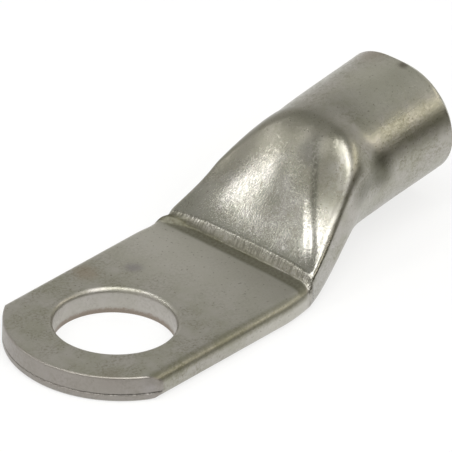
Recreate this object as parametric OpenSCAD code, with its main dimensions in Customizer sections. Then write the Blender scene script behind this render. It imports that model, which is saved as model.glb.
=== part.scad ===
// Tubular cable lug. One length of round tube is left round at the barrel, where the wire goes in,
// and pressed flat at the palm, where a stud hole is punched.
// The origin is the centre of the stud hole on the underside of the palm. +X runs to the barrel
// and +Z is up. All lengths are in millimetres.

/* [Palm] */
// Diameter of the stud hole
stud_d = 6.5; // [4.3:0.1:8.4]
// Width of the palm over its folded sides
palm_w = 10.9; // [9.8:0.1:13]
// Thickness of the palm, both tube walls pressed together
palm_t = 1.5; // [1.2:0.05:1.9]
// Distance from the hole centre to the tip
tip_reach = 5.8; // [5.2:0.1:8]
// Depth of the arc that the tip is cut to, from its middle to the folded sides
tip_depth = 3.4; // [2:0.1:4.8]
// Outer radius of the folded sides
fold_r = 0.5; // [0.3:0.05:0.6]
// Radius that the punch rolls on the upper rim of the hole
rim_r = 0.35; // [0.1:0.05:0.5]
// Chamfer of the lower edge of the tip
tip_low_edge = 0.16; // [0.04:0.02:0.4]

/* [Seam] */
// Height of the line where the two flattened walls meet at the tip
seam_z = 0.5; // [0.3:0.05:0.8]
// Opening of the seam
seam_gap = 0.06; // [0.04:0.01:0.12]
// Depth of the seam into the tip
seam_depth = 0.2; // [0.1:0.05:0.4]

/* [Barrel] */
// Outer diameter of the tube
tube_od = 7.3; // [6.6:0.1:8.4]
// Wall thickness of the tube
tube_wall = 0.9; // [0.6:0.05:1.1]
// Angle by which the barrel tilts up from the palm
tilt = 7.3; // [3:0.1:12]
// Length of the part of the barrel that stays fully round
round_l = 5.3; // [4:0.1:16]
// Chamfer inside and outside the cut mouth
mouth_chamfer = 0.15; // [0.05:0.05:0.3]

/* [Pressed neck] */
// Distance from the hole centre to the crease across the palm
crease_x = 9.7; // [8.5:0.1:14]
// Length over which the top rises from the crease to the full tube
rise_l = 6.7; // [5.5:0.1:8]
// Steepness of the rise where it leaves the crease
rise_start = 0.8; // [0.3:0.05:1.5]
// Height of the step that the edge of the die leaves at the crease
step_h = 0.37; // [0.1:0.01:0.6]
// Length of that step
step_l = 0.4; // [0.2:0.05:0.8]
// How far the ends of the step curl towards the tip at the folded sides
step_curl = 1; // [0:0.1:1.3]
// Height of the pillow of the pressed top over its two shoulders
pillow_h = 0.9; // [0:0.05:1.2]
// Length over which the pillow rises from the crease
pillow_rise = 3.5; // [2:0.1:5]
// Length over which the pillow fades into the round tube
pillow_fade = 4; // [2:0.1:5]
// Distance before the crease at which the folded sides start to draw in
draw_lead = 2.2; // [0.5:0.1:3]
// Length over which the sides draw in from the palm to the tube
draw_l = 10.2; // [9.5:0.1:13]
// Steepness of the draw where it starts
draw_start = 0.15; // [0:0.05:1]
// How far past the round of the tube the sides are pinched at the end of the draw
pinch = 0.5; // [0:0.1:1.2]
// Distance from the hole centre to the knee, where the underside leaves the palm's plane
knee_x = 13.3; // [12:0.1:16]
// Length of the bend at the knee
knee_l = 6; // [2:0.1:7]
// Radius of the two upper shoulders where they leave the crease
shoulder_edge_r = 0.3; // [0.2:0.05:0.6]
// Distance past the crease up to which the shoulders keep that radius
shoulder_lead = 2.7; // [1:0.1:3.5]
// Length over which the shoulders open into the round tube
shoulder_run = 4.4; // [3:0.1:6]
// Distance past the crease at which the lower edges have opened into the round tube
heel_run = 5.4; // [4:0.1:8]
// Fullness of the lower edges halfway along that distance, 1 for half round
heel_fill = 0.84; // [0.5:0.02:1]

/* [Hidden] */
$fn = 96;

over = 0.2;
eps = 0.01;
tube_r = tube_od / 2;
bore_r = tube_r - tube_wall;
stud_r = stud_d / 2;
half_palm = palm_w / 2;
tip_r = (tip_depth * tip_depth + half_palm * half_palm) / (2 * tip_depth);

// Length before the crease over which the step's ends start to curl
neck_lead = 3;
// Narrowest gap between the walls where the hollow of the neck closes
slit = 0.12;
slit_edge = 0.03;
// How sharply the step curls near the folded sides
curl_power = 4;

// Stations along the underside, from the hole centre towards the mouth
draw_from = crease_x - draw_lead;
neck_from = crease_x - neck_lead;
neck_end = draw_from + draw_l;
mouth_at = neck_end + round_l;
shoulder_from = crease_x + shoulder_lead;

// The knee is an arc of the underside
knee_r = knee_l / (tilt * PI / 180);
knee_from = knee_x - knee_r * tan(tilt / 2);

// Segments of half a section: underside, lower edge, side, upper edge, top
flat_n = 5;
edge_n = 6;
side_n = 2;
top_n = 12;
half_n = flat_n + 2 * edge_n + side_n + top_n;
lead_rings = 7;
crease_rings = 10;
neck_rings = 26;
cavity_n = 20;
cavity_rings = 16;

// Cubic from 0 at v = 0 to 1 at v = 1, with the given slopes at its two ends
function ease(v, start = 0, end = 0) =
    let (u = min(max(v, 0), 1))
    start * u * (1 - u) * (1 - u) + u * u * (3 - 2 * u) + end * u * u * (u - 1);

// Parabola through a at v = 0, b halfway and c at v = 1
function through(v, a, b, c) =
    let (u = min(max(v, 0), 1))
    a * (1 - u) * (1 - 2 * u) + 4 * b * u * (1 - u) + c * u * (2 * u - 1);

// Height and half width of the pressed tube at a station
function rise(s) = ease((s - crease_x) / rise_l, rise_start, 0);
function height(s) = palm_t + (tube_od - palm_t) * rise(s);
function half_width(s) =
    half_palm + (tube_r - half_palm) * ease((s - draw_from) / draw_l, draw_start, -pinch);

// Height of the pillow over the shoulders, and of the shoulders over the underside
function pillow(s) =
    pillow_h * ease((s - crease_x) / pillow_rise) * (1 - ease((s - crease_x - pillow_rise) / pillow_fade));
function shoulder_z(s) = height(s) - pillow(s);

// Radius of the upper shoulders and of the lower edges at a station
function shoulder_r(s) =
    let (edge_r = fold_r + (shoulder_edge_r - fold_r) * ease((s - crease_x) / step_l))
    min(edge_r + (tube_r - edge_r) * ease((s - shoulder_from) / shoulder_run), half_width(s));
function heel_r(s) =
    let (fill = through((s - crease_x) / heel_run, fold_r / (palm_t / 2), heel_fill, 1))
    min(height(s) / 2 * fill, half_width(s), shoulder_z(s) - shoulder_r(s));

// Angle that a length of arc turns through
function turn(length, r) = length / r * 180 / PI;

// Point [y, height] at the share f of the way round half a rounded section, underside to top
function round_half(f, w, h, low_r, top_r) =
    let (low = w - low_r, side = h - low_r - top_r, top = w - top_r)
    let (a = low, b = a + PI / 2 * low_r, c = b + side, d = c + PI / 2 * top_r)
    let (s = f * (d + top))
    s <= a ? [s, 0] :
    s <= b ? [low, low_r] + low_r * [sin(turn(s - a, low_r)), -cos(turn(s - a, low_r))] :
    s <= c ? [w, low_r + s - b] :
    s <= d ? [top, h - top_r] + top_r * [cos(turn(s - c, top_r)), sin(turn(s - c, top_r))] :
    [max(top - (s - d), 0), h];

// The upper half of a section is lifted by the step at the crease and by the pillow
function step_at(s) = step_h * (1 - rise(s)) * ease((s - crease_x) / step_l);
function lifted(p, w, h, step, s) =
    let (across = 1 - pow(p[0] / w, 2))
    [p[0], p[1] + max(2 * p[1] / h - 1, 0) * (step + pillow(s) * across * across)];

// Share of the way round the half section for point i: close together at the folds of the palm,
// and evenly spaced where the tube is round
function palm_share(i) =
    let (a = half_palm - fold_r, q = PI / 2 * fold_r, b = palm_t - 2 * fold_r, all = 2 * (a + q) + b)
    lookup(i, [
        [0, 0],
        [flat_n, a / all],
        [flat_n + edge_n, (a + q) / all],
        [flat_n + edge_n + side_n, (a + q + b) / all],
        [flat_n + 2 * edge_n + side_n, (a + 2 * q + b) / all],
        [half_n, 1]
    ]);
function share(i, s) =
    let (v = ease((s - draw_from) / draw_l))
    (1 - v) * palm_share(i) + v * i / half_n;

// Place of a section point [y, height] on the bent underside line
function knee_angle(s) = min(max((s - knee_from) / knee_l, 0), 1) * tilt;
function placed(p, s) =
    let (a = knee_angle(s), straight = min(s, knee_from), rest = max(s - knee_from - knee_l, 0))
    [
        straight + knee_r * sin(a) + rest * cos(a) - p[1] * sin(a),
        p[0],
        knee_r * (1 - cos(a)) + rest * sin(a) + p[1] * cos(a)
    ];

// Full ring from the placed points of one half, mirrored about the middle plane
function ring(half) =
    let (n = len(half) - 1)
    concat(half, [for (i = [n - 1 : -1 : 1]) [half[i][0], -half[i][1], half[i][2]]]);

// How far point i of the ring at station s is drawn towards the tip, so that the step curls there
function palm_y(i) = round_half(palm_share(i), half_palm, palm_t, fold_r, fold_r)[0] / half_palm;
function curl(i, s) =
    step_curl * pow(palm_y(i), curl_power) * ease((s - neck_from) / (crease_x - neck_from)) *
    (1 - ease((s - crease_x) / rise_l));

function outer_point(i, s, trim) =
    let (t = s - curl(i, s), w = half_width(t) - trim, h = shoulder_z(t) - 2 * trim)
    let (p = round_half(share(i, t), w, h, heel_r(t) - trim, shoulder_r(t) - trim))
    placed(lifted(p, w, h, step_at(s), t) + [0, trim], t);

// A ring that runs on into the round barrel or the bore is trimmed by a hair, to lie inside it
function trim_at(s) = s < neck_end ? 0 : eps;
function outer_ring(s) = ring([for (i = [0 : half_n]) outer_point(i, s, trim_at(s))]);

function cavity_half(s, trim) =
    let (h = max(shoulder_z(s) - 2 * tube_wall, slit) - 2 * trim, w = half_width(s) - tube_wall - trim)
    let (top = min(max(shoulder_r(s) - tube_wall, slit_edge), h / 2))
    let (low = min(max(heel_r(s) - tube_wall, slit_edge), h / 2))
    let (lift = [0, (shoulder_z(s) - h) / 2])
    [for (i = [0 : cavity_n])
        placed(lifted(round_half(i / cavity_n, w, h, low, top), w, h, 0, s) + lift, s)];

// Middle of a ring that is mirrored about y = 0
function middle(ring) = (ring[0] + ring[len(ring) / 2]) / 2;

// Closed skin through a stack of rings, with each end closed by a fan from its middle
module skin(rings) {
    n = len(rings[0]);
    last = len(rings) - 1;
    first_middle = (last + 1) * n;
    last_middle = first_middle + 1;
    points = [for (r = rings) each r, middle(rings[0]), middle(rings[last])];
    sides = [for (k = [0 : last - 1], i = [0 : n - 1])
        let (j = (i + 1) % n)
        each [
            [k * n + i, (k + 1) * n + i, k * n + j],
            [k * n + j, (k + 1) * n + i, (k + 1) * n + j]
        ]];
    ends = [for (i = [0 : n - 1])
        let (j = (i + 1) % n)
        each [
            [first_middle, i, j],
            [last_middle, last * n + j, last * n + i]
        ]];
    polyhedron(points, concat(sides, ends), convexity = 6);
}

// Frame of the round barrel: its axis along +Z, with z = 0 at the station s
module along_barrel(s) {
    axis = placed([0, tube_r], s);
    translate(axis) rotate([0, 90 - tilt, 0]) children();
}

// The pressed length: the palm, a little longer than its tip, and the neck
module pressed_tube() {
    crease_end = crease_x + 2 * step_l;
    stations = concat(
        [-tip_reach - over],
        [for (i = [0 : lead_rings - 1]) neck_from + (crease_x - neck_from) * i / lead_rings],
        [for (i = [0 : crease_rings - 1]) crease_x + (crease_end - crease_x) * i / crease_rings],
        [for (i = [0 : neck_rings]) crease_end + (neck_end - crease_end) * i / neck_rings],
        [neck_end + over]
    );
    skin([for (s = stations) outer_ring(s)]);
}

// The hollow that runs from the bore into the neck and closes where the walls meet
module cavity() {
    closed_at = crease_x + step_l;
    stations = concat(
        [for (i = [0 : cavity_rings]) closed_at + (neck_end - closed_at) * i / cavity_rings],
        [neck_end + over]
    );
    skin([for (s = stations) ring(cavity_half(s, trim_at(s)))]);
}

module round_barrel() {
    along_barrel(neck_end)
        rotate_extrude()
            polygon([
                [0, 0],
                [tube_r, 0],
                [tube_r, round_l - mouth_chamfer],
                [tube_r - mouth_chamfer, round_l],
                [0, round_l]
            ]);
}

module bore() {
    along_barrel(neck_end)
        cylinder(h = round_l + over, r = bore_r);
    along_barrel(mouth_at)
        translate([0, 0, -mouth_chamfer])
            cylinder(h = mouth_chamfer + over, r1 = bore_r, r2 = bore_r + mouth_chamfer + over);
}

// Everything outside the arc of the tip and its chamfered lower edge
module tip_waste() {
    reach = palm_w + tip_r;
    translate([tip_r - tip_reach, 0, 0])
        intersection() {
            rotate_extrude()
                polygon([
                    [tip_r - tip_low_edge - over, -over],
                    [reach, -over],
                    [reach, palm_t + over],
                    [tip_r, palm_t + over],
                    [tip_r, tip_low_edge]
                ]);
            translate([-2 * reach, -reach, -2 * over])
                cube([2 * reach, 2 * reach, palm_t + 4 * over]);
        }
}

// Thin slot round the tip where the two walls meet
module tip_seam() {
    translate([tip_r - tip_reach, 0, seam_z - seam_gap / 2])
        intersection() {
            difference() {
                cylinder(h = seam_gap, r = tip_r + over);
                translate([0, 0, -over])
                    cylinder(h = seam_gap + 2 * over, r = tip_r - seam_depth);
            }
            translate([-2 * tip_r, -half_palm + 2 * fold_r, -over])
                cube([2 * tip_r, palm_w - 4 * fold_r, seam_gap + 2 * over]);
        }
}

// Punch for the stud hole, which rolls the upper rim over
module stud_punch() {
    translate([0, 0, -over])
        cylinder(h = palm_t + 2 * over, r = stud_r);
    translate([0, 0, palm_t - rim_r])
        rotate_extrude()
            difference() {
                square([stud_r + rim_r, rim_r + over]);
                translate([stud_r + rim_r, 0])
                    circle(r = rim_r);
            }
}

module lug() {
    color([0.66, 0.65, 0.61])
        difference() {
            union() {
                pressed_tube();
                round_barrel();
            }
            bore();
            cavity();
            tip_waste();
            tip_seam();
            stud_punch();
        }
}

lug();
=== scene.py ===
import math

import bmesh
import bpy
from mathutils import Matrix, Vector


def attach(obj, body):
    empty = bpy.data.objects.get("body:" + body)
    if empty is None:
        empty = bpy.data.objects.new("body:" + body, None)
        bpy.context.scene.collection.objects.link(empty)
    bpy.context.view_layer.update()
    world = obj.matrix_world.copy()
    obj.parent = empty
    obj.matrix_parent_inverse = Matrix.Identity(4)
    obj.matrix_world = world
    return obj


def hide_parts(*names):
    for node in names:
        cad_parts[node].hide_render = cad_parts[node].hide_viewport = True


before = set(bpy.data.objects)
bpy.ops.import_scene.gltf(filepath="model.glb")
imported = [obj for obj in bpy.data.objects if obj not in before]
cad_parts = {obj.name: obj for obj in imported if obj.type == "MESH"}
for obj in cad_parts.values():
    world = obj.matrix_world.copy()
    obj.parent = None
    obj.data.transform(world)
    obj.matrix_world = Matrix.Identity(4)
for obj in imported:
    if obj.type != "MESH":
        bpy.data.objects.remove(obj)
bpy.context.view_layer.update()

MM = 0.001

# Tubular cable lug: one length of tinned tube, round at the barrel and pressed flat at the palm.
# The sizes are in millimetres and mostly the CAD model's. Stations run along the underside from
# the centre of the stud hole. Near means the side at negative y, far the side at positive y.

# Palm, with its stud hole, tip and folded edges
STUD_R = 3.25
RIM_R = 0.35
HALF_PALM = 5.45
PALM_T = 1.5
TIP_REACH = 5.8
TIP_CUT = 3.4
TIP_R = (TIP_CUT**2 + HALF_PALM**2) / (2 * TIP_CUT)
TIP_ROLL = 0.14
SEAM_Z = 0.46
FOLD_R = 0.5
NEAR_FOLD_R = 0.62

# Barrel
TUBE_R = 3.65
WALL = 0.9
BORE_R = TUBE_R - WALL
TILT = math.radians(7.3)
ROUND_L = 5.3
CHAMFER = 0.15

# Crease, with the step that the die's edge leaves and the fillet that leads up to it
CREASE_X = 9.7
STEP_H = 0.37
STEP_L = 0.4
FILLET_H = 0.07
FILLET_L = 0.55
STEP_CURL = 1.0
NEAR_CURL = 0.25

# Neck: the rise of its top, the pillow that the die leaves on it, and its narrowing
RISE_L = 6.7
RISE_START = 0.8
PILLOW_H = 0.9
PILLOW_RISE = 3.5
PILLOW_FADE = 4.0
DRAW_FROM = CREASE_X - 2.2
DRAW_L = 10.2
DRAW_START = 0.15
PINCH = 0.5
NECK_FROM = CREASE_X - 3.0
NECK_END = DRAW_FROM + DRAW_L
MOUTH_AT = NECK_END + ROUND_L
SLIT = 0.12
SLIT_EDGE = 0.03

# Knee of the underside, and how the section's corners open to a circle
KNEE_L = 6.0
KNEE_AT = 13.3
KNEE_R = KNEE_L / TILT
KNEE_FROM = KNEE_AT - KNEE_R * math.tan(TILT / 2)
SHOULDER_R = 0.3
SHOULDER_FROM = CREASE_X + 2.7
SHOULDER_RUN = 4.4
HEEL_RUN = 5.4
HEEL_FILL = 0.84

# Valley along the near edge of the die's face, from the end of the crease up the rise.
# A pair of numbers below is the station where something starts and the run over which it grows.
VALLEY_Y = 5.1
VALLEY_SLOPE = 0.86
VALLEY_DEPTH = 0.09
VALLEY_WIDTH = 0.26
VALLEY_GROWS = (CREASE_X + 0.2, 1.0)
VALLEY_THINS = (11.6, 1.6)
VALLEY_THINNED = 0.8
VALLEY_ENDS = (13.2, 2.2)

# Ears: the metal swells outside the valley, and a little on the far side
EAR_SWELL = 0.2
EAR_IN = 1.3
EAR_WIDE = 1.1
EAR_GROWS = (CREASE_X + 0.3, 2.2)
EAR_ENDS = (14.0, 3.0)
FAR_SWELL = 0.07
FAR_IN = 1.9
FAR_GROWS = (CREASE_X, 2.0)

# Near shoulder: it is higher, wider and leans outwards, and its edge opens late
LIFT = 0.32
LIFT_AT = 14.9
LIFT_BEFORE = 1.7
LIFT_AFTER = 2.4
SPREAD = 0.05
SPREAD_AT = 13.6
SPREAD_RUN = 1.6
LEAN = 0.36
LEAN_GROWS = (12.4, 3.2)
LEAN_ENDS = (15.4, 6.4)
EDGE_OPENING = 0.1
EDGE_LATE = 4
FAR_OPENING = 0.03
EDGE_REACH = 3

# Belly of the die's face
BELLY = 0.18
BELLY_AT = 12.3
BELLY_RUN = 1.4

# Mouth: pressed down at the top and swollen on the near side, with angles from the near side
DENT = 0.29
DENT_AT = math.radians(90)
DENT_ARC = math.radians(32)
BULGE = 0.18
BULGE_AT = math.radians(5)
BULGE_ARC = math.radians(50)
DENT_RUN = 4.5

# Mesh
HALF_RING = 93
OUTER, INNER = 0, 1
PAST = 0.3
SHARP = math.radians(32)


# ---- The form that the press gives the tube ----


def clamp(v, low=0.0, high=1.0):
    return min(max(v, low), high)


def ease(v, start=0.0, end=0.0):
    """Cubic from 0 to 1 with the given slopes at its ends."""
    u = clamp(v)
    return start * u * (1 - u) ** 2 + u * u * (3 - 2 * u) + end * u * u * (u - 1)


def through(v, a, b, c):
    """Parabola through a, b halfway and c."""
    u = clamp(v)
    return a * (1 - u) * (1 - 2 * u) + 4 * b * u * (1 - u) + c * u * (2 * u - 1)


def rise(s):
    return ease((s - CREASE_X) / RISE_L, RISE_START)


def height(s):
    return PALM_T + (2 * TUBE_R - PALM_T) * rise(s)


def half_width(s):
    return HALF_PALM + (TUBE_R - HALF_PALM) * ease((s - DRAW_FROM) / DRAW_L, DRAW_START, -PINCH)


def pillow(s):
    up = ease((s - CREASE_X) / PILLOW_RISE)
    return PILLOW_H * up * (1 - ease((s - CREASE_X - PILLOW_RISE) / PILLOW_FADE))


def shoulder_z(s):
    return height(s) - pillow(s)


def shoulder_r(s):
    edge = FOLD_R + (SHOULDER_R - FOLD_R) * ease((s - CREASE_X) / STEP_L)
    open_r = edge + (TUBE_R - edge) * ease((s - SHOULDER_FROM) / SHOULDER_RUN)
    return min(open_r, half_width(s))


def heel_r(s):
    fill = through((s - CREASE_X) / HEEL_RUN, FOLD_R / (PALM_T / 2), HEEL_FILL, 1)
    return min(height(s) / 2 * fill, half_width(s), shoulder_z(s) - shoulder_r(s))


def round_half(f, w, h, low_r, top_r):
    """Point (y, height) at the share f of the way round half a section, underside to top."""
    low, side, top = w - low_r, h - low_r - top_r, w - top_r
    lower = low + math.pi / 2 * low_r
    upper = lower + side
    crest = upper + math.pi / 2 * top_r
    s = f * (crest + top)
    if s <= low:
        return s, 0.0
    if s <= lower:
        a = (s - low) / low_r
        return low + low_r * math.sin(a), low_r - low_r * math.cos(a)
    if s <= upper:
        return w, low_r + s - lower
    if s <= crest:
        a = (s - upper) / top_r
        return top + top_r * math.cos(a), h - top_r + top_r * math.sin(a)
    return max(top - (s - crest), 0.0), h


def lifted(p, w, h, step, s):
    """The upper half of a section, raised by the step and by the pillow."""
    across = 1 - (p[0] / w) ** 2
    return p[0], p[1] + max(2 * p[1] / h - 1, 0) * (step + pillow(s) * across * across)


def step_at(s):
    """Height of the die's step, with the fillet that leads up to it over the palm."""
    fillet = FILLET_H * clamp((s - CREASE_X) / FILLET_L + 1) ** 2
    return (fillet + (STEP_H - FILLET_H) * ease((s - CREASE_X) / STEP_L)) * (1 - rise(s))


def palm_share(f):
    """Vertices stand close together at the folds of the palm."""
    flat, fold, side = HALF_PALM - FOLD_R, math.pi / 2 * FOLD_R, PALM_T - 2 * FOLD_R
    whole = 2 * (flat + fold) + side
    knots = [
        (0, 0),
        (5 / 31, flat / whole),
        (11 / 31, (flat + fold) / whole),
        (13 / 31, (flat + fold + side) / whole),
        (19 / 31, (flat + 2 * fold + side) / whole),
        (1, 1),
    ]
    for (f0, v0), (f1, v1) in zip(knots, knots[1:]):
        if f <= f1:
            return v0 + (v1 - v0) * (f - f0) / (f1 - f0)
    return 1.0


def share(f, s):
    """Spacing round the section: the palm's at the palm, even at the barrel."""
    v = ease((s - DRAW_FROM) / DRAW_L)
    return (1 - v) * palm_share(f) + v * f


def placed(p, s):
    """Place of a section point on the bent underside line."""
    a = clamp((s - KNEE_FROM) / KNEE_L) * TILT
    straight, rest = min(s, KNEE_FROM), max(s - KNEE_FROM - KNEE_L, 0)
    return Vector(
        (
            straight + KNEE_R * math.sin(a) + rest * math.cos(a) - p[1] * math.sin(a),
            p[0],
            KNEE_R * (1 - math.cos(a)) + rest * math.sin(a) + p[1] * math.cos(a),
        )
    )


def curl(f, s, near):
    """How far the crease bends back along the lug towards the edges of the palm."""
    across = round_half(palm_share(f), HALF_PALM, PALM_T, FOLD_R, FOLD_R)[0] / HALF_PALM
    lead = ease((s - NECK_FROM) / (CREASE_X - NECK_FROM))
    most = NEAR_CURL if near else STEP_CURL
    return most * across**4 * lead * (1 - grown(s, CREASE_X, RISE_L))


def bump(v):
    """Bell curve of height 1 and half width about 1."""
    return math.exp(-v * v)


def grown(s, start, run):
    """Rises from 0 at the start to 1 at the end of the run."""
    return ease((s - start) / run)


def ears(y, w, s, near):
    """Departure of the top from an even pillow, with y counted outwards and w the half width."""
    ends = 1 - grown(s, *EAR_ENDS)
    if not near:
        return FAR_SWELL * grown(s, *FAR_GROWS) * ends * bump(y - w + FAR_IN)
    swell = EAR_SWELL * grown(s, *EAR_GROWS) * ends * bump((y - w + EAR_IN) / EAR_WIDE)
    lift_run = LIFT_BEFORE if s < LIFT_AT else LIFT_AFTER
    lift = LIFT * bump((s - LIFT_AT) / lift_run) * ease((y / w - 0.15) / 0.6)
    depth = VALLEY_DEPTH * grown(s, *VALLEY_GROWS) * (1 - VALLEY_THINNED * grown(s, *VALLEY_THINS))
    depth *= 1 - grown(s, *VALLEY_ENDS)
    valley_y = VALLEY_Y - VALLEY_SLOPE * (s - CREASE_X)
    return lift + swell - depth * bump((y - valley_y) / VALLEY_WIDTH)


def edge_r(s, near):
    """Radius of the section's upper corner. The far one opens early, the near one late."""
    past_crease = clamp(s - CREASE_X, 0, EDGE_REACH)
    if not near:
        return max(shoulder_r(s), SHOULDER_R + FAR_OPENING * past_crease)
    early = SHOULDER_R + EDGE_OPENING * past_crease
    opened = grown(s, CREASE_X, NECK_END - CREASE_X) ** EDGE_LATE
    open_r = early + (TUBE_R - early) * opened
    pinched = grown(s, CREASE_X, STEP_L)
    return min(open_r * pinched + NEAR_FOLD_R * (1 - pinched), half_width(s))


def mouth_dent(theta, s):
    """Change of radius near the mouth. The angle runs from the near side up to the top."""
    full = 2 * math.pi
    top = bump(math.remainder(theta - DENT_AT, full) / DENT_ARC)
    side = bump(math.remainder(theta - BULGE_AT, full) / BULGE_ARC)
    return grown(s, MOUTH_AT - DENT_RUN, DENT_RUN) * (BULGE * side - DENT * top)


def outer_point(f, s, trim, near):
    """Point of the tube's outside at the share f of the way from the underside to the top."""
    t = s - curl(f, s, near)
    w, h = half_width(t) - trim, shoulder_z(t) - 2 * trim
    if near:
        w += SPREAD * bump((t - SPREAD_AT) / SPREAD_RUN)
    y, z = round_half(share(f, t), w, h, heel_r(t) - trim, min(edge_r(t, near), w) - trim)
    over = max(2 * z / h - 1, 0)
    if near:
        lean = LEAN * grown(t, *LEAN_GROWS) * (1 - grown(t, *LEAN_ENDS))
        y += lean * ease((z / h - 0.25) / 0.45) * ease((y / w - 0.2) / 0.6)
    y, z = lifted((y, z), w, h, step_at(s), t)
    belly = BELLY * bump((t - BELLY_AT) / BELLY_RUN) * max(1 - (y / w) ** 2, 0) ** 2
    return placed((y, z + trim + over * (ears(y, w, t, near) + belly)), t)


def inner_point(f, s, trim, near):
    """Point of the tube's inside, which closes to a slit where the walls meet."""
    h = max(shoulder_z(s) - 2 * WALL, SLIT) - 2 * trim
    w = half_width(s) - WALL - trim
    top = min(max(shoulder_r(s) - WALL, SLIT_EDGE) - min(trim, 0), h / 2)
    low = min(max(heel_r(s) - WALL, SLIT_EDGE) - min(trim, 0), h / 2)
    y, z = lifted(round_half(f, w, h, low, top), w, h, 0, s)
    return placed((y, z + (shoulder_z(s) - h) / 2), s)


def stations(*runs):
    """Stations along the underside: (start, end, spacing) runs, joined end to end."""
    made = []
    for start, end, spacing in runs:
        n = max(1, round((end - start) / spacing))
        made += [start + (end - start) * i / n for i in range(n)]
    return made + [runs[-1][1]]


def mouth_shift(place, s):
    """Shift of a point of the barrel, away from or towards its axis."""
    axis = placed((0, TUBE_R), s)
    upward = Vector((-math.sin(TILT), 0, math.cos(TILT)))
    out = place - axis
    theta = math.atan2(out.dot(upward), -out.y)
    return out.normalized() * mouth_dent(theta, s)


def plain_tube():
    """The tube before it is pressed: its wall's profile, spun about the axis. The stations stand
    closest together at the crease. Each vertex keeps its station, its trim and its side."""
    bm = bmesh.new()
    station = bm.verts.layers.float.new("station")
    trim = bm.verts.layers.float.new("trim")
    wall = bm.verts.layers.int.new("wall")
    outside = stations(
        (-6.1, 6.4, 0.3),
        (6.4, 8.5, 0.15),
        (8.5, 10.7, 0.06),
        (10.7, NECK_END, 0.13),
        (NECK_END, MOUTH_AT - CHAMFER, 0.18),
    )
    inside = stations((CREASE_X + STEP_L, NECK_END, 0.4), (NECK_END, MOUTH_AT - CHAMFER, 0.3))
    profile = [(OUTER, s, 0) for s in outside]
    profile += [(OUTER, MOUTH_AT, CHAMFER), (INNER, MOUTH_AT, -CHAMFER)]
    profile += [(INNER, s, 0) for s in reversed(inside)]
    line = []
    for side, s, cut in profile:
        r = (TUBE_R if side == OUTER else BORE_R) - cut
        v = bm.verts.new((s, 0, -r))
        v[station], v[trim], v[wall] = s, cut, side
        line.append(v)
    edges = [bm.edges.new(pair) for pair in zip(line, line[1:])]
    bmesh.ops.spin(
        bm,
        geom=line + edges,
        cent=(0, 0, 0),
        axis=(1, 0, 0),
        angle=2 * math.pi,
        steps=2 * HALF_RING,
        use_merge=True,
        use_normal_flip=False,
        use_duplicate=False,
    )
    return bm, station, trim, wall


def pressed_lug():
    """Every point of the plain tube is moved to where the press leaves it."""
    bm, station, trim, wall = plain_tube()
    for v in bm.verts:
        i = round(math.atan2(v.co.y, -v.co.z) / math.pi * HALF_RING)
        point = inner_point if v[wall] == INNER else outer_point
        place = point(abs(i) / HALF_RING, v[station], v[trim], i < 0)
        if i < 0:
            place.y = -place.y
        if v[station] > NECK_END:
            place += mouth_shift(place, v[station])
        v.co = place
    bmesh.ops.holes_fill(bm, edges=[e for e in bm.edges if e.is_boundary], sides=0)
    bmesh.ops.recalc_face_normals(bm, faces=bm.faces)
    return bm


# ---- The punch and the shear ----


def turned(profile, centre_x, start, sweep, steps):
    """Closed cutter turned from a profile of (radius, height) about an upright axis."""
    bm = bmesh.new()
    line = [bm.verts.new((r * math.cos(start), r * math.sin(start), z)) for r, z in profile]
    full = sweep == 2 * math.pi
    pairs = list(zip(line, line[1:] + line[:1]))
    edges = [bm.edges.new(p) for p in (pairs[:-1] if full else pairs)]
    face = [] if full else [bm.faces.new(line)]
    bmesh.ops.spin(
        bm,
        geom=line + edges + face,
        cent=(0, 0, 0),
        axis=(0, 0, 1),
        angle=sweep,
        steps=steps,
        use_merge=full,
        use_normal_flip=False,
        use_duplicate=False,
    )
    if full:
        bmesh.ops.remove_doubles(bm, verts=bm.verts, dist=1e-5)
    bmesh.ops.translate(bm, verts=bm.verts, vec=(centre_x, 0, 0))
    bmesh.ops.recalc_face_normals(bm, faces=bm.faces)
    return bm


def arc(centre, r, start, end, steps):
    """Points on an arc, with the angles in degrees."""
    turns = [math.radians(start + (end - start) * i / steps) for i in range(steps + 1)]
    return [(centre[0] + r * math.cos(a), centre[1] + r * math.sin(a)) for a in turns]


def stud_punch():
    """Plain shank below, and above it the flare that rolls the upper rim."""
    profile = [(0, -PAST), (STUD_R, -PAST), (STUD_R, PALM_T - RIM_R)]
    profile += arc((STUD_R + RIM_R, PALM_T - RIM_R), RIM_R, 180, 98, 6)[1:]
    profile += [(STUD_R + RIM_R + 0.1, PALM_T + PAST), (0, PALM_T + PAST)]
    return turned(profile, 0, 0, 2 * math.pi, 144)


def tip_shear():
    """Everything outside the arc of the tip, with the parted walls showing as a seam."""
    r = TIP_R
    roll_z = PALM_T - TIP_ROLL
    far_out = r + 16
    profile = [(r - 0.36, -0.2), (r - 0.03, 0.13), (r, 0.2)]
    profile += [(r, SEAM_Z - 0.04), (r - 0.05, SEAM_Z), (r, SEAM_Z + 0.04), (r, roll_z)]
    profile += arc((r - TIP_ROLL, roll_z), TIP_ROLL, 0, 78, 4)[1:]
    profile += [(r - 0.2, PALM_T + PAST), (far_out, PALM_T + PAST), (far_out, -0.2)]
    return turned(profile, TIP_R - TIP_REACH, math.radians(100), math.radians(160), 160)


def as_object(name, bm):
    mesh = bpy.data.meshes.new(name)
    bm.to_mesh(mesh)
    bm.free()
    thing = bpy.data.objects.new(name, mesh)
    bpy.context.collection.objects.link(thing)
    return thing


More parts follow.
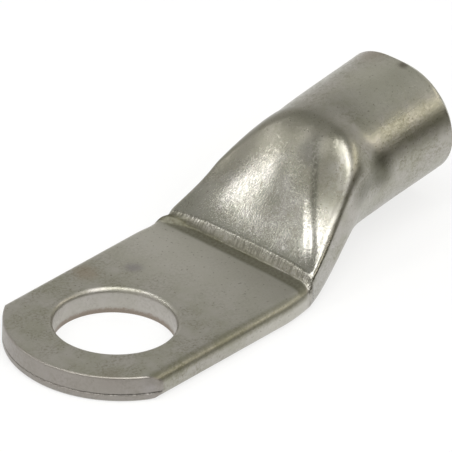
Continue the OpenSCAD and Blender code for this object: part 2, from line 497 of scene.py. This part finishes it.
def cut_lug():
    """The pressed tube with the stud hole and the tip cut, in millimetres."""
    blank = as_object("pressed blank", pressed_lug())
    tools = [as_object("stud punch", stud_punch()), as_object("tip shear", tip_shear())]
    for tool in tools:
        cut = blank.modifiers.new(tool.name, "BOOLEAN")
        cut.operation = "DIFFERENCE"
        cut.solver = "EXACT"
        cut.object = tool
    ready = blank.evaluated_get(bpy.context.evaluated_depsgraph_get())
    bm = bmesh.new()
    bm.from_mesh(ready.to_mesh())
    for thing in [blank, *tools]:
        bpy.data.objects.remove(thing)
    return bm


def make_lug():
    bm = cut_lug()
    bmesh.ops.remove_doubles(bm, verts=bm.verts, dist=1e-4)
    bmesh.ops.scale(bm, vec=(MM, MM, MM), verts=bm.verts)
    for face in bm.faces:
        face.smooth = True
    for edge in bm.edges:
        edge.smooth = edge.calc_face_angle(0) < SHARP
    return as_object("cable_lug", bm)


# ---- Finish ----


class Value:
    """One output of a node. Sums on it add Math nodes."""

    def __init__(self, finish, socket):
        self.finish = finish
        self.socket = socket

    def maths(self, operation, *terms):
        sockets = dict(enumerate(terms))
        return self.finish.add("ShaderNodeMath", {"operation": operation}, sockets)

    def __add__(self, other):
        return self.maths("ADD", self, other)

    def __sub__(self, other):
        return self.maths("SUBTRACT", self, other)

    def __rsub__(self, other):
        return self.maths("SUBTRACT", other, self)

    def __mul__(self, other):
        return self.maths("MULTIPLY", self, other)

    def __truediv__(self, other):
        return self.maths("DIVIDE", self, other)

    def __pow__(self, other):
        return self.maths("POWER", self, other)

    def __abs__(self):
        return self.maths("ABSOLUTE", self)

    def greater(self, other):
        return self.maths("MAXIMUM", self, other)

    __radd__ = __add__
    __rmul__ = __mul__


class Finish:
    """The nodes of a new material or world."""

    def __init__(self, owner):
        self.owner = owner
        owner.use_nodes = True
        self.tree = owner.node_tree
        self.tree.nodes.clear()

    def add(self, kind, settings=None, sockets=None, out=0):
        """Any node: its settings first, then its sockets' values or links."""
        node = self.tree.nodes.new(kind)
        for key, value in (settings or {}).items():
            if key == "stops":
                for element, (at, colour) in zip(node.color_ramp.elements, value):
                    element.position = at
                    element.color = colour
            else:
                setattr(node, key, value)
        for key, value in (sockets or {}).items():
            if isinstance(value, Value):
                self.tree.links.new(value.socket, node.inputs[key])
            else:
                node.inputs[key].default_value = value
        return Value(self, node.outputs[out]) if node.outputs else None

    def coordinates(self):
        """Object coordinates in millimetres."""
        place = self.add("ShaderNodeTexCoord", out="Object")
        return self.vector("MULTIPLY", place, (1 / MM, 1 / MM, 1 / MM))

    def vector(self, operation, a, b=(0, 0, 0), out=0):
        return self.add("ShaderNodeVectorMath", {"operation": operation}, {0: a, 1: b}, out)

    def radius(self, place, centre_x=0.0):
        """Distance from an upright axis."""
        out = self.vector("SUBTRACT", place, (centre_x, 0, 0))
        return self.vector("LENGTH", self.vector("MULTIPLY", out, (1, 1, 0)), out=1)

    def mix(self, share_of, a, b):
        settings = {"data_type": "RGBA", "clamp_factor": True}
        return self.add("ShaderNodeMix", settings, {0: share_of, 6: a, 7: b}, 2)

    def step(self, value, low, high):
        """Smooth step of a value from 0 at low to 1 at high."""
        settings = {"interpolation_type": "SMOOTHSTEP"}
        return self.add("ShaderNodeMapRange", settings, {0: value, 1: low, 2: high})

    def noise(self, place, scale, detail, roughness):
        sockets = {"Vector": place, "Scale": scale, "Detail": detail, "Roughness": roughness}
        return self.add("ShaderNodeTexNoise", None, sockets)

    def grain(self, place, stretch, detail, roughness):
        """Noise drawn out: a large number gives fine lines across that axis."""
        return self.noise(self.vector("MULTIPLY", place, stretch), 1.0, detail, roughness)


def rgb(r, g, b):
    return (r, g, b, 1)


OLIVE_TIN = rgb(0.36, 0.352, 0.295)
LILAC_TIN = rgb(0.425, 0.408, 0.375)
MOTTLE = rgb(0.24, 0.23, 0.175)
PALM_PAINTED_LIGHT = rgb(0.55, 0.535, 0.49)
BARREL_TOP_PAINTED_LIGHT = rgb(0.56, 0.55, 0.48)
RUBBED = rgb(0.38, 0.38, 0.365)
CREST_PAINTED_SHADE = rgb(0.23, 0.222, 0.18)
SPECK = rgb(0.12, 0.1, 0.07)
CREASE_PAINTED_SHADE = rgb(0.1, 0.096, 0.055)
STEP_DIRT = rgb(0.17, 0.16, 0.13)
FOLD_PAINTED_SHADE = rgb(0.15, 0.145, 0.085)
VALLEY_DIRT_AND_SHADE = rgb(0.09, 0.09, 0.07)
HOLE_WALL_PAINTED_LIGHT = rgb(0.5, 0.475, 0.45)
HOLE_WALL_LOWER_DARK = rgb(0.2, 0.15, 0.11)
CUT_TIP = rgb(0.29, 0.265, 0.25)
SEAM_DIRT = rgb(0.09, 0.085, 0.075)

# Stains on the tin, and patches of painted shade and painted reflection: middle, reach, colour and
# strength
STAINS_AND_PAINTED_LIGHT = (
    ((4.6, 2.9, 1.5), 0.75, rgb(0.27, 0.25, 0.27), 0.6),
    ((2.5, 4.35, 1.5), 1.1, rgb(0.33, 0.26, 0.19), 0.45),
    # Dirt and painted shade: dark smear at the top of the valley line.
    ((13.9, -1.4, 6.4), 1.2, rgb(0.16, 0.155, 0.14), 0.8),
    # The next two are painted shade: a dark reflection painted below the near shoulder.
    ((16.6, -3.9, 5.0), 1.6, rgb(0.08, 0.08, 0.045), 0.75),
    ((15.0, -4.3, 4.8), 1.3, rgb(0.08, 0.08, 0.045), 0.6),
    ((21.7, -0.7, 8.15), 0.5, rgb(0.12, 0.1, 0.08), 0.7),
    ((21.9, 1.5, 7.9), 1.6, rgb(0.3, 0.24, 0.19), 0.4),
    ((-4.3, -3.6, 1.5), 1.0, rgb(0.28, 0.25, 0.2), 0.4),
    # Painted reflection: a paler patch on the facet at the tip's near corner.
    ((-2.9, -5.1, 0.9), 0.7, rgb(0.5, 0.5, 0.52), 0.5),
)

# Depth that a full step of the finish's bump stands for, in metres
GRAIN_DEPTH = 0.000009


def tinned_copper():
    f = Finish(bpy.data.materials.new("tinned copper"))
    place = f.coordinates()
    x, y, z = (f.add("ShaderNodeSeparateXYZ", None, {0: place}, i) for i in range(3))

    soft = f.noise(place, 1.3, 2, 0.5)
    cloud = f.noise(place, 0.55, 5, 0.65)
    fleck = f.noise(place, 6, 4, 0.7)
    patch = f.noise(place, 0.8, 2, 0.5)
    dots = f.noise(place, 6.5, 1, 0.5)
    pitted = f.noise(place, 7, 4, 0.65)
    ticks = f.grain(place, (0.8, 9, 0.8), 2, 0.7)
    drawn = f.grain(place, (0.7, 15, 0.7), 3, 0.65)
    drawn_up = f.grain(place, (0.7, 0.7, 13), 3, 0.65)

    # Bands across the lug, told by the distance past the crease or by the distance up the face
    crease = x - CREASE_X + NEAR_CURL * (abs(y) / HALF_PALM) ** 4
    up_face = x + 0.35 * abs(y) + soft
    palm = f.step(crease, 0.0, -0.3)
    gutter = f.step(abs(crease + 0.28 - 0.02 * y), 0.5, 0.2) * f.step(z, 1.15, 1.45)
    step_face = f.step(abs(crease - 0.22), 0.24, 0.1)
    rubbed = f.step(crease, 0.1, 0.5) * f.step(up_face, 14.6, 13.2)
    crest = f.step(up_face, 12.9, 14.4) * f.step(x, 16.5, 15.0) * f.step(y, -3.5, -2.3)
    barrel_top = f.step(x, 16.5, 19.0) * f.step(z, 6.8, 7.9) * f.step(y, 1.5, -0.5)

    # Lines: the valley, the near fold, the walls of the hole and the tip, and the tip's seam
    off_valley = y + (VALLEY_Y + 0.05) - VALLEY_SLOPE * (x - CREASE_X)
    valley = f.step(abs(off_valley), 0.4, 0.05) * f.step(z, 2.5, 3.5)
    valley = valley * f.step(x, 11.6, 12.6) * f.step(x, 14.6, 13.9)
    fold = f.step(y, -4.9, -5.15) * f.step(z, 0.75, 1.1) * palm
    wall = f.step(f.radius(place), STUD_R + 0.1, STUD_R + 0.03) * f.step(z, 1.4, 1.1)
    tip = f.step(f.radius(place, TIP_R - TIP_REACH), TIP_R - TIP_ROLL, TIP_R - 0.03)
    tip = tip * f.step(x, -1.2, -1.8)
    seam = tip * f.step(abs(z - SEAM_Z), 0.1, 0.02) * f.step(fleck, 0.3, 0.55)

    # Tin dulls unevenly: olive and lilac greys, mottled, with fine dark specks and stains. Other
    # coats are painted light and painted shade, each marked where it is added.
    colour = f.mix(f.step(cloud, 0.36, 0.64), OLIVE_TIN, LILAC_TIN)
    coats = [
        (f.step(fleck, 0.4, 0.66) * f.step(patch, 0.35, 0.6) * 0.7, MOTTLE),
        # Painted light: the palm is painted lighter towards the crease.
        (palm * f.step(x, 2.0, 7.5) * 0.7, PALM_PAINTED_LIGHT),
        # Painted light: the barrel's top is painted lighter.
        (barrel_top * 0.6, BARREL_TOP_PAINTED_LIGHT),
        (rubbed * 0.3, RUBBED),
        # Painted shade: the crest is painted darker, which dims its reflection.
        (crest * 0.75, CREST_PAINTED_SHADE),
        (f.step(dots, 0.68, 0.76) * 0.5, SPECK),
    ]
    # Stains, and patches of painted shade and painted reflection, from the table above.
    for spot, reach, tint, strength in STAINS_AND_PAINTED_LIGHT:
        frayed = f.vector("DISTANCE", place, spot, out=1) + 0.8 * (patch - 0.5)
        coats.append((f.step(frayed, reach, 0.2 * reach) * strength, tint))
    coats += [
        # Painted shade: the fillet in the crease, at the foot of the die's step, is painted dark.
        (gutter * (0.5 + 0.5 * fleck), CREASE_PAINTED_SHADE),
        (step_face * f.step(ticks, 0.56, 0.42) * 0.65, STEP_DIRT),
        # Painted shade: a dark reflection painted along the near fold of the palm.
        (fold * (0.25 + 0.5 * fleck), FOLD_PAINTED_SHADE),
        # Dirt and painted shade along the valley line.
        (valley * f.step(fleck, 0.3, 0.6) * 0.7, VALLEY_DIRT_AND_SHADE),
        # Painted light: the hole's wall is painted lighter, a painted reflection of the floor.
        (wall * 0.5, HOLE_WALL_PAINTED_LIGHT),
        # The hole's wall is darker towards its bottom.
        (wall * f.step(z + 0.5 * fleck, 0.65, 0.4) * 0.7, HOLE_WALL_LOWER_DARK),
        (tip * 0.7, CUT_TIP),
        (seam * (0.25 + 0.5 * f.step(y, -1.5, -4.5)), SEAM_DIRT),
    ]
    for share_of, coat in coats:
        colour = f.mix(share_of, colour, coat)

    # Drawing and pressing leave fine scratches along the lug and a hammered grain
    relief = (drawn + 0.6 * drawn_up) * 0.6 + pitted + soft * 0.9 + ticks * step_face * 8
    bump_sockets = {"Strength": 1.0, "Distance": GRAIN_DEPTH, "Height": relief}
    rough = 0.27 - 0.09 * rubbed + 0.1 * f.step(fleck, 0.3, 0.7) + 0.2 * gutter + 0.08 * palm
    sockets = {
        "Base Color": colour,
        "Metallic": 1.0,
        "Roughness": rough,
        "Normal": f.add("ShaderNodeBump", None, bump_sockets),
    }
    metal = f.add("ShaderNodeBsdfPrincipled", None, sockets)
    f.add("ShaderNodeOutputMaterial", None, {"Surface": metal})
    return f.owner


lug = make_lug()
lug.data.materials.append(tinned_copper())
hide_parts("lug")
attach(lug, "root")


# ---- Studio ----

VIEW_TURN = math.radians(48.96586)
VIEW_TILT = math.radians(30.75080)
VIEW_ROLL = math.radians(1.47568)
VIEW_WIDTH = 0.023666
CAMERA_AWAY = 0.92024
SENSOR = 36
AWAY = Vector((math.sin(VIEW_TURN), math.cos(VIEW_TURN), 0))
ASIDE = Vector((math.cos(VIEW_TURN), -math.sin(VIEW_TURN), 0))
UP = Vector((0, 0, 1))
LOOK_AT = Vector((6.1803, -2.1595, 5.4529)) * MM

FLOOR_HALF = 0.9
FLOOR_DROP = 0.00002
FLOOR_GLOW = 0.7
WORLD_STRENGTH = 0.62
WORLD_LOW = (1.15, 1.13, 1.08, 1)
WORLD_HIGH = (0.72, 0.72, 0.66, 1)
LAMPS_AWAY = 0.4
WHITE = (1, 1, 1)
WARM = (1, 0.93, 0.74)

# Lamps: azimuth, elevation, width and height in degrees as the lug sees them, radiance, colour
LAMPS = {
    "left softbox": (-84, 27, 11, 8, 7, WHITE),
    "left front softbox": (-113, 55, 12, 18, 7, WHITE),
    "right strip": (84, 26, 50, 6, 2.8, WARM),
    "front left lamp": (-152, 58, 14, 36, 3.0, WHITE),
    "front right lamp": (150, 56, 30, 48, 3.5, WHITE),
}


def make_camera():
    forward = AWAY * math.cos(VIEW_TILT) - UP * math.sin(VIEW_TILT)
    upward = AWAY * math.sin(VIEW_TILT) + UP * math.cos(VIEW_TILT)
    x = ASIDE * math.cos(VIEW_ROLL) + upward * math.sin(VIEW_ROLL)
    y = upward * math.cos(VIEW_ROLL) - ASIDE * math.sin(VIEW_ROLL)
    data = bpy.data.cameras.new("camera")
    data.sensor_width = SENSOR
    data.lens = SENSOR * CAMERA_AWAY / VIEW_WIDTH
    camera = bpy.data.objects.new("camera", data)
    turn = Matrix((x, y, -forward)).transposed().to_4x4()
    camera.matrix_world = Matrix.Translation(LOOK_AT - forward * CAMERA_AWAY) @ turn
    bpy.context.collection.objects.link(camera)
    bpy.context.scene.camera = camera


def towards(azimuth, elevation):
    """Direction at an azimuth from straight away from the camera, turning to its right."""
    a, e = math.radians(azimuth), math.radians(elevation)
    return (AWAY * math.cos(a) + ASIDE * math.sin(a)) * math.cos(e) + UP * math.sin(e)


def softbox(name, azimuth, elevation, width, tall, radiance, colour):
    """Area lamp that faces the lug."""
    data = bpy.data.lights.new(name, "AREA")
    data.shape = "RECTANGLE"
    data.size = 2 * LAMPS_AWAY * math.tan(math.radians(width / 2))
    data.size_y = 2 * LAMPS_AWAY * math.tan(math.radians(tall / 2))
    data.energy = radiance * math.pi * data.size * data.size_y
    data.color = colour
    lamp = bpy.data.objects.new(name, data)
    direction = towards(azimuth, elevation)
    lamp.location = LOOK_AT + direction * LAMPS_AWAY
    lamp.rotation_euler = direction.to_track_quat("Z", "Y").to_euler()
    bpy.context.collection.objects.link(lamp)


def make_world():
    """Even light, a little stronger from the horizon than from above."""
    f = Finish(bpy.data.worlds.new("studio"))
    direction = f.add("ShaderNodeTexCoord", out="Generated")
    upward = f.add("ShaderNodeSeparateXYZ", None, {0: direction}, 2)
    stops = {"stops": [(0.45, WORLD_LOW), (0.75, WORLD_HIGH)]}
    shade = f.add("ShaderNodeValToRGB", stops, {0: upward})
    light = f.add("ShaderNodeBackground", None, {"Color": shade, "Strength": WORLD_STRENGTH})
    f.add("ShaderNodeOutputWorld", None, {"Surface": light})
    bpy.context.scene.world = f.owner


def floor_paper():
    """White paper. The camera and reflections see it paler than its light leaves it."""
    f = Finish(bpy.data.materials.new("white paper"))
    rays = ("Is Camera Ray", "Is Glossy Ray", "Is Transmission Ray")
    camera, glossy, through_glass = (f.add("ShaderNodeLightPath", out=ray) for ray in rays)
    seen = camera.greater(glossy).greater(through_glass)
    paper = f.add("ShaderNodeBsdfDiffuse", None, {"Color": rgb(0.93, 0.93, 0.93)})
    glow = f.add("ShaderNodeEmission", None, {"Color": rgb(1, 1, 1), "Strength": 1.0})
    lit = f.add("ShaderNodeMixShader", None, {0: seen * FLOOR_GLOW, 1: paper, 2: glow})
    f.add("ShaderNodeOutputMaterial", None, {"Surface": lit})
    return f.owner


def make_floor():
    bm = bmesh.new()
    bmesh.ops.create_grid(bm, x_segments=1, y_segments=1, size=FLOOR_HALF)
    bmesh.ops.translate(bm, verts=bm.verts, vec=(0, 0, -FLOOR_DROP))
    floor = as_object("floor", bm)
    floor.data.materials.append(floor_paper())


def card(name, colour, size, turn, centre):
    """Small card beside the lug, that only its reflections see."""
    f = Finish(bpy.data.materials.new(name))
    shade = f.add("ShaderNodeEmission", None, {"Color": colour, "Strength": 1.0})
    f.add("ShaderNodeOutputMaterial", None, {"Surface": shade})
    bm = bmesh.new()
    bmesh.ops.create_grid(bm, x_segments=1, y_segments=1, size=0.5)
    bmesh.ops.scale(bm, vec=(*size, 1), verts=bm.verts)
    turned_by = Matrix.Rotation(turn, 3, "X")
    bmesh.ops.rotate(bm, cent=(0, 0, 0), matrix=turned_by, verts=bm.verts)
    bmesh.ops.translate(bm, verts=bm.verts, vec=centre)
    board = as_object(name, bm)
    board.data.materials.append(f.owner)
    board.visible_camera = False
    board.visible_shadow = False
    board.visible_diffuse = False


make_camera()
make_world()
make_floor()
card("dark_card", rgb(0.07, 0.065, 0.03), (0.16, 0.019), math.pi / 2, (0.012, -0.045, 0.0095))
card("grey_card", rgb(0.5, 0.49, 0.46), (0.16, 0.031), 0, (0.012, -0.0295, 0.0002))
for lamp_name, how in LAMPS.items():
    softbox(lamp_name, *how)

bpy.context.scene.view_settings.view_transform = "Standard"
